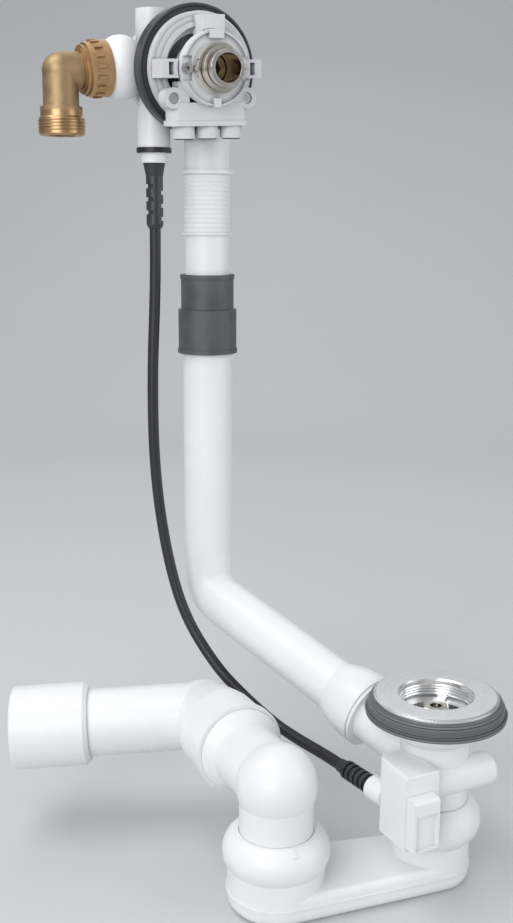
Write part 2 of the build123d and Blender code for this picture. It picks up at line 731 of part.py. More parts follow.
# Outlet bend: socket, mitred bend with a round corner, and plain pipe
mouth = elbow_reach + swivel_gap
socket_floor = spigot_end + swivel_gap
bend_bore = outlet_radius - drain_wall
bend_seal_start = mouth + 2 * bend_mouth_rim
with BuildPart() as outlet_bend:
    turn(elbow_point, spigot_run, (
        (0, mouth), (bend_mouth_radius, mouth), (bend_mouth_radius, mouth + bend_mouth_rim),
        (bend_socket_radius, mouth + 1.5 * bend_mouth_rim), (bend_socket_radius, socket_floor),
        (bend_corner_radius, bend_corner), (0, bend_corner)))
    ball(bend_point, bend_corner_radius)
    rod(bend_point, outlet_run, outlet_radius, 0, outlet_length)
    rod(elbow_point, spigot_run, riser_radius + swivel_gap, mouth, socket_floor, Mode.SUBTRACT)
    rod(elbow_point, spigot_run, riser_radius + swivel_gap + drain_wall, bend_seal_start,
        bend_seal_start + lip_height, Mode.SUBTRACT)
    rod(elbow_point, spigot_run, bend_bore, socket_floor, bend_corner, Mode.SUBTRACT)
    ball(bend_point, bend_bore, Mode.SUBTRACT)
    rod(bend_point, outlet_run, bend_bore, 0, outlet_length, Mode.SUBTRACT)
write(outlet_bend.part, "outlet_bend")

with BuildPart() as outlet_seal:
    tube(elbow_point, spigot_run, riser_radius + swivel_gap + drain_wall - fit_gap, riser_radius + swivel_gap,
         bend_seal_start + fit_gap, bend_seal_start + lip_height - fit_gap)
write(outlet_seal.part, "outlet_seal")

# Sleeve on the end of the outlet pipe
sleeve_bore = outlet_radius + fit_gap
sleeve_shoulder = sleeve_radius - sleeve_bore
with BuildPart() as outlet_sleeve:
    turn(bend_point, outlet_run, (
        (sleeve_bore, sleeve_start), (sleeve_radius - sleeve_shoulder / 2, sleeve_start),
        (sleeve_radius, sleeve_start + sleeve_shoulder / 2), (sleeve_radius, sleeve_end - drain_wall / 2),
        (sleeve_radius - drain_wall / 2, sleeve_end), (sleeve_bore, sleeve_end)))
write(outlet_sleeve.part, "outlet_sleeve")

# White bent overflow pipe, from the coupling down to the waste
pipe_foot = Vector(*leg_start) + leg_run * leg_seat
pipe_corner_z = leg_z + leg_distance * tan(radians(leg_slope))
with BuildPart() as overflow_pipe:
    with BuildLine():
        FilletPolyline((pipe_x, pipe_y, pipe_top_z), (pipe_x, pipe_y, pipe_corner_z), tuple(pipe_foot),
                       radius=pipe_bend_radius)
    with BuildSketch(Plane((pipe_x, pipe_y, pipe_top_z), z_dir=down)):
        Circle(pipe_radius)
        Circle(pipe_radius - pipe_wall, mode=Mode.SUBTRACT)
    sweep()
write(overflow_pipe.part, "overflow_pipe")

# Ribbed upper pipe: plain ends, a collar at each end of the ribs
rib_bottom_z = rib_top_z - rib_pitch * rib_count
ribbed_bore = ribbed_radius - ribbed_wall
with BuildPart() as ribbed_pipe:
    rib_corners = []
    for rib in range(rib_count):
        rib_z = rib_top_z - rib_pitch * rib
        rib_corners += [(ribbed_radius, rib_z), (ribbed_radius + rib_height, rib_z - rib_pitch / 2)]
    turn((pipe_x, pipe_y, 0), up, (
        (ribbed_bore, ribbed_top_z), (ribbed_radius, ribbed_top_z),
        (ribbed_radius, rib_top_z + rib_collar), (ribbed_radius + rib_collar, rib_top_z + rib_collar),
        (ribbed_radius + rib_collar, rib_top_z), *rib_corners, (ribbed_radius, rib_bottom_z),
        (ribbed_radius + rib_collar, rib_bottom_z),
        (ribbed_radius + rib_collar, rib_bottom_z - rib_collar / 2),
        (ribbed_radius, rib_bottom_z - rib_collar / 2), (ribbed_radius, ribbed_bottom_z),
        (ribbed_bore, ribbed_bottom_z)))
write(ribbed_pipe.part, "ribbed_pipe")

# Dark rubber coupling, stepped to suit the two pipes
upper_bore = ribbed_radius + fit_gap
lower_bore = pipe_radius + fit_gap
with BuildPart() as pipe_coupling:
    step_z = pipe_top_z + coupling_wall
    turn((pipe_x, pipe_y, 0), up, (
        (upper_bore, coupling_top_z), (upper_bore + coupling_wall + coupling_lip, coupling_top_z),
        (upper_bore + coupling_wall + coupling_lip, coupling_top_z - coupling_wall),
        (upper_bore + coupling_wall, coupling_top_z - coupling_wall), (upper_bore + coupling_wall, step_z),
        (lower_bore + coupling_wall, step_z - coupling_lip), (lower_bore + coupling_wall,
                                                              coupling_bottom_z + coupling_wall),
        (lower_bore + coupling_wall + coupling_lip, coupling_bottom_z + coupling_wall),
        (lower_bore + coupling_wall + coupling_lip, coupling_bottom_z), (lower_bore, coupling_bottom_z),
        (lower_bore, pipe_top_z + fit_gap), (upper_bore, pipe_top_z + fit_gap)))
write(pipe_coupling.part, "pipe_coupling")

# Overflow body behind the bath wall
tooth = 2 * pi * gear_pitch_radius / gear_teeth
addendum = tooth / pi * 0.8
gear_room = gear_pitch_radius + addendum + 2 * swivel_gap
gear_room_front = chamber_depth + chamber_floor
gear_room_back = body_depth - gear_cover_thickness
spigot_bore = ribbed_bore - fit_gap - ribbed_wall
port_depth = chamber_depth / 2
bulge_end = nut_place - fit_gap
pipe_way = Vector(pipe_x, pipe_y, overflow_z - 1.2 * chamber_radius)
chamber_way = head_point(chamber_radius / 2, -0.7 * chamber_radius, -chamber_depth * 2 / 3)
way_run = pipe_way - chamber_way
with BuildPart() as overflow_body:
    rod(head, forward, body_radius, -body_depth, 0)
    rod(head, forward, body_flange, -head_gasket_thickness - body_flange_thickness, -head_gasket_thickness)
    rod((rack_x, pipe_y, 0), up, rack_tube_radius, rack_tube_bottom_z, rack_tube_top_z)
    rod((pipe_x, pipe_y, 0), up, ribbed_radius, ribbed_top_z, overflow_z)
    rod((pipe_x, pipe_y, 0), up, ribbed_bore - fit_gap, rib_top_z, ribbed_top_z)
    rod(inlet_point, inlet_run, neck_radius, 0, (bulge_start + bulge_end) / 2)
    barrel(inlet_point, inlet_run, (
        (bulge_shoulder, bulge_end), (0, bulge_end), (0, bulge_start), (bulge_shoulder, bulge_start)),
        (bulge_radius, (bulge_start + bulge_end) / 2))
    rod(inlet_point, inlet_run, inlet_spigot_radius, bulge_start, nut_place + inlet_spigot_length)
    # overflow chamber with the bearing sleeve and the screw bosses left standing
    rod(head, forward, chamber_radius, -chamber_depth, 0, Mode.SUBTRACT)
    rod(head, forward, sleeve_boss_radius, -chamber_depth, 0)
    for side in (-1, 1):
        place = head_point(side * screw_offset, 0)
        rod(place, forward, 2 * screw_radius, -chamber_depth, 0)
        rod(place, forward, screw_radius + fit_gap, -chamber_depth + screw_radius, 0, Mode.SUBTRACT)
    # way from the chamber down into the pipe
    rod((pipe_x, pipe_y, 0), up, spigot_bore, rib_top_z, pipe_way.Z, Mode.SUBTRACT)
    rod(chamber_way, way_run, spigot_bore * 0.6, 0, way_run.length, Mode.SUBTRACT)
    # gear room at the back, seat of its cover, rack bore, spindle bearing
    rod(head, forward, gear_room, -body_depth, -gear_room_front, Mode.SUBTRACT)
    rod(head, forward, gear_cover_radius + fit_gap, -body_depth, -gear_room_back, Mode.SUBTRACT)
    rod((rack_x, pipe_y, 0), up, rack_tube_radius - rack_tube_wall, rack_tube_bottom_z,
        rack_tube_top_z - rack_tube_wall, Mode.SUBTRACT)
    rod(head, forward, spindle_radius + running_gap, -gear_room_front, 0, Mode.SUBTRACT)
    rod(head, forward, spindle_radius + seal_section + 2 * fit_gap, -2 * seal_section - 3 * fit_gap, 0,
        Mode.SUBTRACT)
    # water inlet and the port to the nozzles
    rod(inlet_point, inlet_run, inlet_bore_radius, rack_tube_radius + rack_tube_wall,
        nut_place + inlet_spigot_length, Mode.SUBTRACT)
    rod(head_point(0, port_height), forward, port_radius + fit_gap, -port_depth, 0, Mode.SUBTRACT)
write(overflow_body.part, "overflow_body")

with BuildPart() as gear_cover:
    rod(head, forward, gear_cover_radius, -body_depth, -gear_room_back)
    rod(head, forward, spindle_radius + running_gap, -body_depth, -gear_room_back, Mode.SUBTRACT)
write(gear_cover.part, "gear_cover")

# Black gasket against the back of the bath wall
gasket_bore = body_radius + fit_gap
gasket_mid = (gasket_bore + head_gasket_radius) / 2
groove = (head_gasket_radius - gasket_bore) / 5
with BuildPart() as overflow_gasket:
    turn(head, forward, (
        (gasket_bore, -head_gasket_thickness), (head_gasket_radius, -head_gasket_thickness),
        (head_gasket_radius, -groove), (head_gasket_radius - groove, 0), (gasket_mid + groove, 0),
        (gasket_mid, -groove), (gasket_bore, -groove)))
write(overflow_gasket.part, "overflow_gasket")

# Grey front ring in three steps, with a leg and two brackets that the hub lies in
hub_bore = stub_tail_radius + fit_gap
hub_floor = hub_front - hub_rim
screw_seat = hub_floor - notch_depth
drum_radius = screw_offset - screw_radius - swivel_gap
ring_step = (ring_radius - ring_inner_radius) / 3
pad_half = port_radius + ring_step
bracket_outer = ring_radius - bracket_bar / 2
window_outer = ring_radius - 3 * bracket_bar
tab_height = hub_radius + hub_rim / 4
hub_seat = sqrt(tab_height**2 + tab_width**2) + fit_gap
with BuildPart() as front_ring:
    turn(head, forward, (
        (ring_inner_radius, 0), (ring_radius, 0), (ring_radius, ring_edge),
        (ring_radius - ring_step, ring_edge), (ring_radius - ring_step, ring_middle),
        (ring_inner_radius + ring_step, ring_middle),
        (ring_inner_radius + ring_step, ring_front), (ring_inner_radius, ring_front)))
    # pad for the water port
    block((-pad_half, pad_half), (port_height - port_radius, port_radius - ring_inner_radius), (0, ring_edge),
          frame=head_plane)
    rod(head_point(0, port_height), forward, port_radius + fit_gap, 0, ring_front, Mode.SUBTRACT)
    # leg at the top, brackets to left and right with a window in each
    block((leg_left, leg_right), (hub_radius - hub_rim, ring_radius - ring_step), (ring_edge, bracket_front),
          frame=head_plane)
    for side in (-1, 1):
        block((side * (hub_radius - hub_rim / 2), side * bracket_outer),
              (-bracket_height / 2, bracket_height / 2), (ring_edge / 2, bracket_front), frame=head_plane)
        block((side * (window_outer - bracket_window), side * window_outer),
              (bracket_bar - bracket_height / 2, bracket_height / 2 - bracket_bar), (0, bracket_front),
              Mode.SUBTRACT, head_plane)
        rod(head_point(side * block_boss_offset, block_boss_height), forward, screw_radius + fit_gap, 0,
            ring_front, Mode.SUBTRACT)
    rod(head, forward, hub_seat, hub_back, hub_front, Mode.SUBTRACT)
write(front_ring.part, "front_ring")

# Drum around the spindle, clamped between the body and the hub
with BuildPart() as front_drum:
    tube(head, forward, drum_radius, hub_bore, swivel_gap, hub_back)
write(front_drum.part, "front_drum")

# Dished hub with its rim tabs and screw notches
with BuildPart() as front_hub:
    tube(head, forward, hub_radius, hub_bore, hub_back, hub_floor)
    tube(head, forward, hub_radius, hub_radius - hub_rim / 2, hub_floor, hub_front)
    # tabs on the rim, below and above
    for side, width in ((-1, tab_width), (1, 2 * tab_width)):
        block((-width / 2, width / 2), (side * (hub_radius - tab_width), side * tab_height),
              (hub_back, hub_front + hub_rim / 2), frame=head_plane)
    # notches and holes for the screws
    for side in (-1, 1):
        block((side * (screw_offset - screw_head_radius), side * (hub_radius + hub_rim)),
              (-notch_height / 2, notch_height / 2), (screw_seat, hub_front), Mode.SUBTRACT, head_plane)
        rod(head_point(side * screw_offset, 0), forward, screw_radius + fit_gap, hub_back, hub_front,
            Mode.SUBTRACT)
write(front_hub.part, "front_hub")

# Nickel sleeve for the trim, in three steps with a groove at the root of each
stub_run = (stub_front - hub_front) / 3
with BuildPart() as trim_stub:
    stub_corners = [(stub_bore_radius, hub_back), (stub_tail_radius, hub_back), (stub_tail_radius, hub_floor)]
    for step in range(3):
        step_radius = stub_radius - step * stub_step
        step_start = hub_front + step * stub_run if step else hub_floor
        step_end = hub_front + (step + 1) * stub_run
        groove_end = step_start + stub_groove
        stub_corners += [(step_radius - stub_groove, step_start), (step_radius - stub_groove, groove_end),
                         (step_radius, groove_end), (step_radius, step_end)]
    turn(head, forward, (*stub_corners, (stub_bore_radius, stub_front)))
write(trim_stub.part, "trim_stub")

# Long screws through the hub, their heads sunk in the notches
with BuildPart() as clamp_screws:
    for side in (-1, 1):
        place = head_point(side * screw_offset, 0)
        rod(place, forward, screw_radius, -chamber_depth + 2 * screw_radius,
            screw_seat + screw_head_height / 2)
        tube(place, forward, screw_head_radius, screw_radius / 2, screw_seat, screw_seat + screw_head_height)
write(clamp_screws.part, "clamp_screws")

# Nozzle block under the hub, with an ear and a screw boss at each side and its water spigot behind
block_back = ring_front + fit_gap
boss_front = block_front - fit_gap
head_seat = boss_front - screw_head_height
channel = port_radius - ribbed_wall / 2
with BuildPart() as nozzle_block:
    block((-block_half_width, block_half_width), (block_bottom, block_top), (block_back, block_front),
          frame=head_plane)
    corner_edges = nozzle_block.edges().filter_by(Axis(head, upward)).sort_by(Axis(head, forward))[-2:]
    fillet(corner_edges, block_corner)
    for side in (-1, 1):
        rod(head_point(side * block_boss_offset, block_boss_height), forward, block_boss_radius, block_back,
            boss_front)
        block((side * ear_inner, side * ear_outer), (block_top - block_corner, ear_top),
              (block_back, boss_front), frame=head_plane)
    rod(head, forward, drum_radius + swivel_gap, block_back, block_front, Mode.SUBTRACT)
    for side in (-1, 1):
        place = head_point(side * block_boss_offset, block_boss_height)
        rod(place, forward, screw_radius + fit_gap, block_back, boss_front, Mode.SUBTRACT)
        rod(place, forward, screw_head_radius + fit_gap, head_seat, boss_front, Mode.SUBTRACT)
    # water spigot, cross channel and the way down to each nozzle
    port = head_point(0, port_height)
    rod(port, forward, port_radius, fit_gap - port_depth, nozzle_depth)
    rod(port, forward, channel, fit_gap - port_depth, nozzle_depth, Mode.SUBTRACT)
    rod(head_point(-nozzle_spacing, port_height, nozzle_depth), across, channel - fit_gap, 0,
        2 * nozzle_spacing, Mode.SUBTRACT)
    for place in (-1, 0, 1):
        rod(head_point(place * nozzle_spacing, block_bottom, nozzle_depth), upward, channel + fit_gap, 0,
            port_height - block_bottom, Mode.SUBTRACT)
write(nozzle_block.part, "nozzle_block")

with BuildPart() as block_screws:
    for side in (-1, 1):
        place = head_point(side * block_boss_offset, block_boss_height)
        rod(place, forward, screw_radius, screw_radius / 2, head_seat)
        rod(place, forward, screw_head_radius, head_seat, boss_front - screw_head_height / 3)
write(block_screws.part, "block_screws")

# Lower half of the block with its three nozzles
plate_bottom = block_bottom - plate_thickness
nozzle_height = plate_bottom + plate_thickness / 2 - nozzle_bottom
with BuildPart() as nozzle_plate:
    block((-block_half_width - block_lip, block_half_width + block_lip), (plate_bottom, block_bottom),
          (plate_back, block_front + block_lip), frame=head_plane)
    corner_edges = nozzle_plate.edges().filter_by(Axis(head, upward)).sort_by(Axis(head, forward))[-2:]
    fillet(corner_edges, block_corner)
    for place in (-1, 0, 1):
        nozzle = head_point(place * nozzle_spacing, nozzle_bottom, nozzle_depth)
        rod(nozzle, upward, nozzle_radius, 0, nozzle_height)
        rod(nozzle, upward, channel, 0, block_bottom - nozzle_bottom, Mode.SUBTRACT)
        rod(nozzle, upward, insert_radius + fit_gap, 0, insert_radius, Mode.SUBTRACT)
write(nozzle_plate.part, "nozzle_plate")

with BuildPart() as nozzle_inserts:
    for place in (-1, 0, 1):
        nozzle = head_point(place * nozzle_spacing, nozzle_bottom, nozzle_depth)
        tube(nozzle, upward, insert_radius, insert_radius / 3, -fit_gap * 4, insert_radius)
write(nozzle_inserts.part, "nozzle_inserts")

# Drive spindle in the head, its seals and its pinion
with BuildPart() as drive_spindle:
    rod(head, forward, spindle_radius, -body_depth, spindle_front)
    rod(head, forward, spindle_head_radius, spindle_front - spindle_head_length, spindle_front)
    with BuildSketch(Plane(head_point(0, 0, spindle_front), x_dir=level, z_dir=forward)):
        RegularPolygon(drive_flats / 2, 6, major_radius=False)
    extrude(amount=-spindle_head_length, mode=Mode.SUBTRACT)
write(drive_spindle.part, "drive_spindle")

with BuildPart() as spindle_seals:
    for place in (1, 2):
        tube(head, forward, spindle_radius + seal_section, spindle_radius + fit_gap,
             -place * (seal_section + fit_gap), -place * (seal_section + fit_gap) + seal_section)
write(spindle_seals.part, "spindle_seals")

root_radius = gear_pitch_radius - addendum * 1.2
tooth_corners = ((-addendum * 1.4, -tooth * 0.34), (addendum, -tooth * 0.12), (addendum, tooth * 0.12),
                 (-addendum * 1.4, tooth * 0.34))
with BuildPart() as drive_pinion:
    with BuildSketch(Plane(head_point(0, 0, -gear_place - gear_width / 2), x_dir=level, z_dir=forward)):
        Circle(root_radius)
        with PolarLocations(gear_pitch_radius, gear_teeth):
            Polygon(*tooth_corners, align=None)
        Circle(spindle_radius + fit_gap, mode=Mode.SUBTRACT)
    extrude(amount=gear_width)
write(drive_pinion.part, "drive_pinion")

# Upright rack that the pinion lifts, its teeth aslant to suit the dipped spindle, and the end of the wire
pitch_line = overflow_x - gear_pitch_radius
rack_back = rack_x - rack_tube_radius / 2
rack_pitch = tooth / cos(dip)
rack_length = rack_pitch * (rack_teeth + 0.5)
first_tooth = ((gear_z - rack_bottom_z) / rack_pitch + 0.5) % 1
with BuildPart() as cable_rack:
    block((rack_back, pitch_line - addendum * 1.2), (pipe_y - rack_depth / 2, pipe_y + rack_depth / 2),
          (rack_bottom_z, rack_bottom_z + rack_length))
    for step in range(rack_teeth):
        tooth_z = rack_bottom_z + (step + first_tooth) * rack_pitch
        with BuildSketch(Plane((pitch_line, pipe_y, tooth_z), x_dir=level, z_dir=forward)):
            Polygon(*tooth_corners, align=None)
        extrude(amount=rack_depth / 2, both=True)
    rod((rack_x, pipe_y, rack_bottom_z), up, core_radius + fit_gap, 0, tooth, Mode.SUBTRACT)
write(cable_rack.part, "cable_rack")

with BuildPart() as upper_core:
    rod((rack_x, pipe_y, rack_bottom_z), up, core_radius, boot_top - rack_bottom_z, tooth)
write(upper_core.part, "upper_core")

# Brass inlet elbow with its union nut and washer
washer_place = nut_place + inlet_spigot_length
nut_end = nut_place + nut_length
elbow_corner = inlet_point + inlet_run * inlet_reach
with BuildPart() as inlet_elbow:
    rod(inlet_point, inlet_run, inlet_arm_radius, washer_place + washer_thickness, inlet_reach)
    rod(inlet_point, inlet_run, inlet_spigot_radius - fit_gap, washer_place + washer_thickness,
        nut_end - washer_thickness)
    ball(elbow_corner, inlet_arm_radius + fit_gap)
    thread_top = inlet_thread_length - inlet_drop
    collar_top = thread_top + inlet_collar_length
    thread_edge = inlet_thread_radius - inlet_collar_radius
    turn(elbow_corner, up, (
        (0, 0), (inlet_arm_radius, 0), (inlet_arm_radius, collar_top), (inlet_collar_radius, collar_top),
        (inlet_collar_radius, thread_top + thread_edge), (inlet_thread_radius, thread_top),
        (inlet_thread_radius, thread_edge - inlet_drop), (inlet_collar_radius, -inlet_drop),
        (0, -inlet_drop)))
    rod(inlet_point, inlet_run, inlet_bore_radius, washer_place + washer_thickness, inlet_reach,
        Mode.SUBTRACT)
    ball(elbow_corner, inlet_bore_radius + fit_gap, Mode.SUBTRACT)
    rod(elbow_corner, down, inlet_bore_radius, 0, inlet_drop, Mode.SUBTRACT)
write(inlet_elbow.part, "inlet_elbow")

# Union nut: tapered, with a stepped end and a row of grip ribs
nut_bore = inlet_spigot_radius + fit_gap
nut_lip = inlet_arm_radius + fit_gap
nut_small = nut_radius - nut_taper
rib_start = nut_place + nut_length * 0.3
rib_end = nut_place + nut_length * 0.6
nut_rib_radius = nut_radius - nut_taper / 2
nut_plane = Plane(inlet_point + inlet_run * rib_start, x_dir=(0, 1, 0), z_dir=inlet_run)
with BuildPart() as union_nut:
    turn(inlet_point, inlet_run, (
        (nut_bore, nut_place), (nut_radius - nut_rib, nut_place), (nut_radius, nut_place + nut_rib),
        (nut_small, nut_end - 2 * washer_thickness), (nut_small - nut_taper, nut_end - 2 * washer_thickness),
        (nut_small - nut_taper, nut_end - washer_thickness / 2),
        (nut_small - 2 * nut_taper, nut_end - washer_thickness / 2), (nut_small - 2 * nut_taper, nut_end),
        (nut_lip, nut_end), (nut_lip, nut_end - washer_thickness), (nut_bore, nut_end - washer_thickness)))
    with BuildSketch(nut_plane):
        with PolarLocations(nut_rib_radius, nut_ribs):
            Rectangle(2 * nut_rib + nut_taper / 2, 4 * nut_rib)
    extrude(amount=rib_end - rib_start)
write(union_nut.part, "union_nut")

with BuildPart() as inlet_washer:
    tube(inlet_point, inlet_run, inlet_spigot_radius - fit_gap, inlet_bore_radius, washer_place,
         washer_place + washer_thickness)
write(inlet_washer.part, "inlet_washer")

# Foot of the rack tube: dark ring, white ferrule and slotted boot
rack_foot = (rack_x, pipe_y, 0)
core_room = core_radius + 2 * swivel_gap
with BuildPart() as cable_ring:
    tube(rack_foot, up, rack_tube_radius + fit_gap * 4, ferrule_radius / 2, ferrule_top, rack_tube_bottom_z)
write(cable_ring.part, "cable_ring")

with BuildPart() as cable_ferrule:
    tube(rack_foot, up, ferrule_radius, core_room, boot_top, ferrule_top)
write(cable_ferrule.part, "cable_ferrule")

slot_step = boot_length / 5
with BuildPart() as upper_boot:
    turn(rack_foot, up, (
        (0, boot_top), (boot_radius, boot_top), (boot_body_radius, boot_top - slot_step),
        (boot_body_radius, boot_tip_z + boot_slot), (boot_tip_radius, boot_tip_z), (0, boot_tip_z)))
    for row in (2, 3, 4):
        for side in (-1, 1):
            slot_z = boot_top - (row + side / 4) * slot_step
            outer = rack_x + side * 2 * boot_radius
            inner = rack_x + side * (boot_body_radius - boot_slot_depth)
            block((inner, outer), (pipe_y - boot_radius, pipe_y + boot_radius),
                  (slot_z - boot_slot / 2, slot_z + boot_slot / 2), Mode.SUBTRACT)
write(upper_boot.part, "upper_boot")

# Ribbed boot at the actuator, with a plug in the boss
ring_pitch = lower_boot_length / (lower_boot_rings + 1)
with BuildPart() as lower_boot:
    ring_corners = []
    for ring in range(lower_boot_rings):
        ring_start = boss_end + ring * ring_pitch
        ring_corners += [(lower_boot_radius, ring_start), (lower_boot_radius, ring_start + ring_pitch * 0.55),
                         (boot_body_radius - core_radius, ring_start + ring_pitch * 0.55),
                         (boot_body_radius - core_radius, ring_start + ring_pitch)]
    boot_end = boss_end + lower_boot_length
    turn(boot_start, boot_run, (
        (0, boss_end - 2 * boot_slot), (boot_body_radius - fit_gap, boss_end - 2 * boot_slot),
        (boot_body_radius - fit_gap, boss_end), *ring_corners, (boot_tip_radius, boot_end), (0, boot_end)))
write(lower_boot.part, "lower_boot")

# Cable between the two boots, in one loose bow
cable_points = [
    (rack_x, pipe_y, boot_tip_z),
    (rack_x, pipe_y, boot_tip_z - cable_lead),
    (-95.0, 184.0, 160.0),
    (-95.0, 182.6, 100.0),
    (-90.3, 177.0, 48.0),
    (-83.4, 164.8, 6.0),
    (-69.5, 144.8, -25.5),
    (-57.5, 126.5, -41.5),
    (-49.8, 99.5, -50.2),
    (-43.6, 78.0, -53.3),
    tuple(lower_boot_tip + boot_run * lower_lead),
    tuple(lower_boot_tip),
]
cable_radii = []
for before, here, after in zip(cable_points, cable_points[1:], cable_points[2:]):
    run_in = Vector(*here) - Vector(*before)
    run_out = Vector(*after) - Vector(*here)
    half_turn = radians(run_in.get_angle(run_out)) / 2
    cable_radii.append(0.45 * min(run_in.length, run_out.length) / tan(half_turn))
print("cable radii", [round(radius) for radius in cable_radii])
with BuildPart() as bowden_cable:
    with BuildLine() as cable_route:
        FilletPolyline(*cable_points, radius=cable_radii)
    with BuildSketch(Plane(cable_points[0], z_dir=Vector(*cable_points[1]) - Vector(*cable_points[0]))):
        Circle(cable_radius)
    sweep()
cable_length = sum(edge.length for edge in cable_route.edges())
print("cable length", round(cable_length, 1), "volume ratio",
      round(bowden_cable.part.volume / (pi * cable_radius**2 * cable_length), 4))
write(bowden_cable.part, "bowden_cable")
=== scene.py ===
import json
import math

import bmesh
import bpy
from mathutils import Matrix, Vector


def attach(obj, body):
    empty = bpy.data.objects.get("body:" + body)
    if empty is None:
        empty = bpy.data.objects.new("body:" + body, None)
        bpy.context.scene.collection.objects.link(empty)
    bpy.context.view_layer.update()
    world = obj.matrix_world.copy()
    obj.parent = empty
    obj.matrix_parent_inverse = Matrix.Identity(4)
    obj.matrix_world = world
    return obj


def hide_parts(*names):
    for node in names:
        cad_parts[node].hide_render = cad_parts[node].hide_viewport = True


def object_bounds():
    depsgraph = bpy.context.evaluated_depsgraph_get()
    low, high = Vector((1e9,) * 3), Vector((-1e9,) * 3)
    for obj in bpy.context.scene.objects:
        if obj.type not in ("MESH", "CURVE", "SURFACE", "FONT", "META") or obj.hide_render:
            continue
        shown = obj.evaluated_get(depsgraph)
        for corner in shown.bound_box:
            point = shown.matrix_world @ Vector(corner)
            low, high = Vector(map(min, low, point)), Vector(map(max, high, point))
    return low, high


bl_info = {
    "name": "Bath waste and overflow",
    "version": (1, 0, 0),
    "blender": (4, 5, 0),
    "location": "3D View > Sidebar > Bath waste",
    "description": "Finishes, cable, threads and studio for a bath waste and overflow",
    "category": "Object",
}

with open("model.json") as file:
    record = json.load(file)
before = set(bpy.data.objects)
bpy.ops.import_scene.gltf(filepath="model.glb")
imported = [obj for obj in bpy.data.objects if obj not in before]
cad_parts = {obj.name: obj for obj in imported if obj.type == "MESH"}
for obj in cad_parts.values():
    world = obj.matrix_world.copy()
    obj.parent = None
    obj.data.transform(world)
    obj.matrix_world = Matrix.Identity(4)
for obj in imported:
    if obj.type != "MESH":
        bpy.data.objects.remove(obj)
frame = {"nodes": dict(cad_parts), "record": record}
cad_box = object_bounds()

MM = 0.001
ROOT_BODY = "assembly"

# Added pieces: edges sharper than the angle stay crisp, and a turn of thread has this many steps
SHARP_ANGLE = math.radians(35)
THREAD_STEPS = 48

# Painted shade: grooves narrower than this are darkened in the base colour on grey plastic and on metal, and
# so is the chamber of the head, over the second depth
CREASE_DEPTH = 2.5 * MM
CHAMBER_DEPTH = 25.0 * MM

# Half the height of the band in which cast brass gives way to turned brass, and that brass's roughness
TURNED_BAND = 0.5 * MM
TURNED_ROUGHNESS = 0.34

# A finish varies while its noise goes from this far below the middle to this far above it
NOISE_MIDDLE = 0.5
NOISE_SPREAD = 0.2

# How plastic and rubber reflect
PLASTIC_IOR = 1.49
RUBBER_SHEEN = 0.55

# Samples of the softened edges and of the painted shade in the grooves
EDGE_SAMPLES = 4
CREASE_SAMPLES = 6

# Nodes whose finish differs from that of their slot; the overflow body's finish paints shade into its chamber
OWN_FINISHES = {"flange_gasket": "ringed_rubber", "union_nut": "nut_brass", "drive_spindle": "spindle_brass",
                "inlet_elbow": "elbow_brass", "front_drum": "pale_plastic", "overflow_body": "chamber_shaded_plastic"}

# The socket's arrow: its angle about the riser's axis, its height above the swivel's point, how far out its
# place is looked for, and its outline in widths
MARK_ANGLE = math.radians(-95)
MARK_RISE = 8.0 * MM
MARK_REACH = 100.0 * MM
MARK_OUTLINE = ((-0.5, -0.5), (0.5, -0.5), (0.0, 0.6))

# The thread's ridge: half its width at the root and at the crest, in pitches
RIDGE_ROOT = 0.42
RIDGE_CREST = 0.10

# Smoothness of the cable: steps between its points and round it
CABLE_STEPS = 12
CABLE_ROUNDNESS = 5

# The cable's route, as in the part's source, in metres
CABLE_ROUTE = (
    (-0.0915, 0.1844, 0.2510),
    (-0.0915, 0.1844, 0.2210),
    (-0.0950, 0.1840, 0.1600),
    (-0.0950, 0.1826, 0.1000),
    (-0.0903, 0.1770, 0.0480),
    (-0.0834, 0.1648, 0.0060),
    (-0.0695, 0.1448, -0.0255),
    (-0.0575, 0.1265, -0.0415),
    (-0.0498, 0.0995, -0.0502),
    (-0.0436, 0.0780, -0.0533),
    (-0.03765, 0.05595, -0.0545),
    (-0.03595, 0.04105, -0.0545),
)

# Studio sweep: how far its floor runs, so that its edges stay out of the views, then where it starts to rise,
# where its wall stands, how high its corner and its wall reach, and how softly it bends
FLOOR_REACH = 30.0
SWEEP_START = 1.6
SWEEP_BACK = 2.2
SWEEP_CORNER = 0.6
SWEEP_TOP = 3.0
SWEEP_BEND = 0.4

# Lamps: name, place and size in metres, and power in watts
LAMPS = (
    ("key", (-1.45, -1.05, 0.75), 1.2, 17.5),
    ("fill", (1.3, -1.0, 0.7), 1.4, 9.5),
    ("top", (-0.75, 0.2, 1.45), 1.0, 10.0),
    ("back", (0.55, 1.15, 1.45), 1.5, 6.0),
)
WORLD_COLOUR = (0.95, 0.97, 1.0, 1.0)
WORLD_STRENGTH = 0.45

# Camera of the photograph: where it stood and how it looked
CAMERA_PLACE = (-0.3526, -0.4837, 0.2614)
CAMERA_AZIMUTH = math.radians(-26.4)
CAMERA_PITCH = math.radians(12.4)
CAMERA_ROLL = 0.005
PHOTO_SIZE = (513, 923)
FOCAL_PIXELS = 1136.0


def colour_property(name, description, default):
    """Colour setting of the finishes."""
    return bpy.props.FloatVectorProperty(name=name, description=description, default=default, size=3,
                                         min=0.0, max=1.0, subtype="COLOR")


def length_property(name, description, default):
    """Length setting of the added pieces, in metres."""
    return bpy.props.FloatProperty(name=name, description=description, default=default, min=0.0,
                                   unit="LENGTH", subtype="DISTANCE", precision=5)


